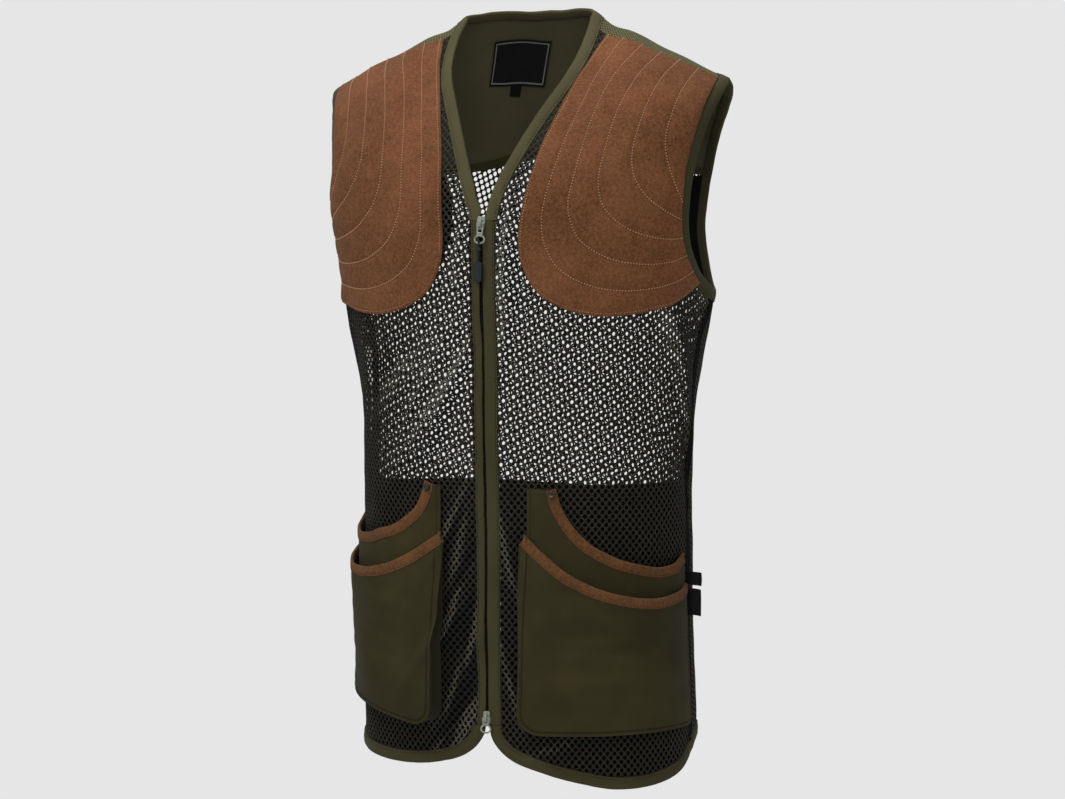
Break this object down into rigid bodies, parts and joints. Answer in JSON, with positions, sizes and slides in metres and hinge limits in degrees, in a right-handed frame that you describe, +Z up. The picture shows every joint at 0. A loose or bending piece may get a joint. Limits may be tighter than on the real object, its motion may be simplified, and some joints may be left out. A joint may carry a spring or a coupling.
{
  "type": "shooting vest",
  "caption": "Worn hollow net shooting vest with quilted suede shoulder pads, olive yoke and edge tapes, two-layer patch pockets and a two-way front zip.",
  "frame": {"origin": "on the centre plane at the level of the shoulders' tops, where the wearer's shoulders hold the vest", "axes": "+Z up, the front faces -Y, +X is the wearer's left"},
  "size_m": [0.4159, 0.2604, 0.7481],
  "materials": {
    "net_fabric": "knitted polyester net",
    "olive_fabric": "olive woven cloth and tape",
    "lining_fabric": "fine dark lining",
    "suede": "brown brushed suede",
    "black_woven": "black woven tape and cord",
    "zip_metal": "dull grey-green metal",
    "rivet_metal": "aged metal",
    "grip_rubber": "matt moulded rubber"
  },
  "bodies": {
    "vest": {"armhole_tape_left": "olive_fabric", "armhole_tape_right": "olive_fabric", "back_lower": "net_fabric", "back_yoke": "olive_fabric", "bottom_slider": "zip_metal", "front_left": "net_fabric", "front_right": "net_fabric", "hem_tape": "olive_fabric", "lining_left": "lining_fabric", "lining_right": "lining_fabric", "neck_label": "black_woven", "neck_tape": "olive_fabric", "pocket_back_left": "olive_fabric", "pocket_back_right": "olive_fabric", "pocket_back_rim_left": "suede", "pocket_back_rim_right": "suede", "pocket_front_left": "olive_fabric", "pocket_front_right": "olive_fabric", "pocket_front_rim_left": "suede", "pocket_front_rim_right": "suede", "pocket_gusset_left": "olive_fabric", "pocket_gusset_right": "olive_fabric", "pocket_rivet_left": "rivet_metal", "pocket_rivet_right": "rivet_metal", "shoulder_pad_left": "suede", "shoulder_pad_right": "suede", "side_loop_lower": "black_woven", "side_loop_upper": "black_woven", "size_tab": "black_woven", "top_slider": "zip_metal", "yoke_seam_tape": "olive_fabric", "zip_chain": "black_woven", "zip_strip_left": "olive_fabric", "zip_strip_right": "olive_fabric"},
    "top_pull": {"top_pull": "zip_metal", "pull_cord": "black_woven", "pull_collar": "black_woven", "pull_grip": "grip_rubber"},
    "bottom_pull": {"bottom_pull": "zip_metal"}
  },
  "joints": [
    {"name": "top_pull_hinge", "type": "hinge", "parent": "vest", "child": "top_pull", "pos_m": [0.00295, -0.12703, -0.19439], "axis": [-0.9994, 0.0007, 0.034], "range_deg": [0, 165]},
    {"name": "bottom_pull_hinge", "type": "hinge", "parent": "vest", "child": "bottom_pull", "pos_m": [0.0041, -0.11773, -0.66501], "axis": [-0.9999, -0.0044, -0.01], "range_deg": [0, 165]}
  ]
}
